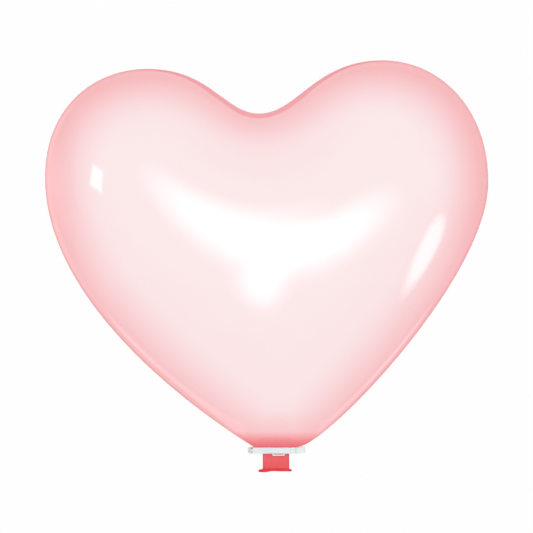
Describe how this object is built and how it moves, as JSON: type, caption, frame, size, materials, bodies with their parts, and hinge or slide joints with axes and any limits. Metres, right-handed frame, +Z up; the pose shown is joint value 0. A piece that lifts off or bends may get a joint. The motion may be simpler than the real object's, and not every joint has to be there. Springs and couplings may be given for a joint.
{
  "type": "heart-shaped latex balloon with neck clip",
  "caption": "Inflated heart-shaped translucent latex balloon, closed by a hinged plastic clip across its flattened neck.",
  "frame": {"origin": "underside of the clip, midway along it, on the plane where its two jaws meet", "axes": "+Z up through the heart, +X along the clip towards its latch, -Y out of the front of the balloon"},
  "size_m": [0.6006, 0.349, 0.5584],
  "materials": {
    "pale_latex": "glossy, translucent, pale pink",
    "red_latex": "satin, unstretched, coral red",
    "clip_plastic": "semi-gloss moulded, cool white"
  },
  "bodies": {
    "balloon": {"heart_envelope": "pale_latex", "neck_sleeve": "red_latex", "mouth_rim": "red_latex", "back_jaw": "clip_plastic", "hinge_pin": "clip_plastic"},
    "front_jaw": {"front_jaw": "clip_plastic"},
    "latch": {"snap_latch": "clip_plastic"}
  },
  "joints": [
    {"name": "front_jaw_hinge", "type": "hinge", "parent": "balloon", "child": "front_jaw", "pos_m": [-0.0366, 0, 0.0043], "axis": [0, 0, -1], "range_deg": [0, 110]},
    {"name": "latch_flex", "type": "hinge", "parent": "balloon", "child": "latch", "pos_m": [0.0323, 0.0032, 0.0043], "axis": [0, 0, 1], "range_deg": [0, 10], "stiffness_Nm_per_rad": 0.3}
  ]
}
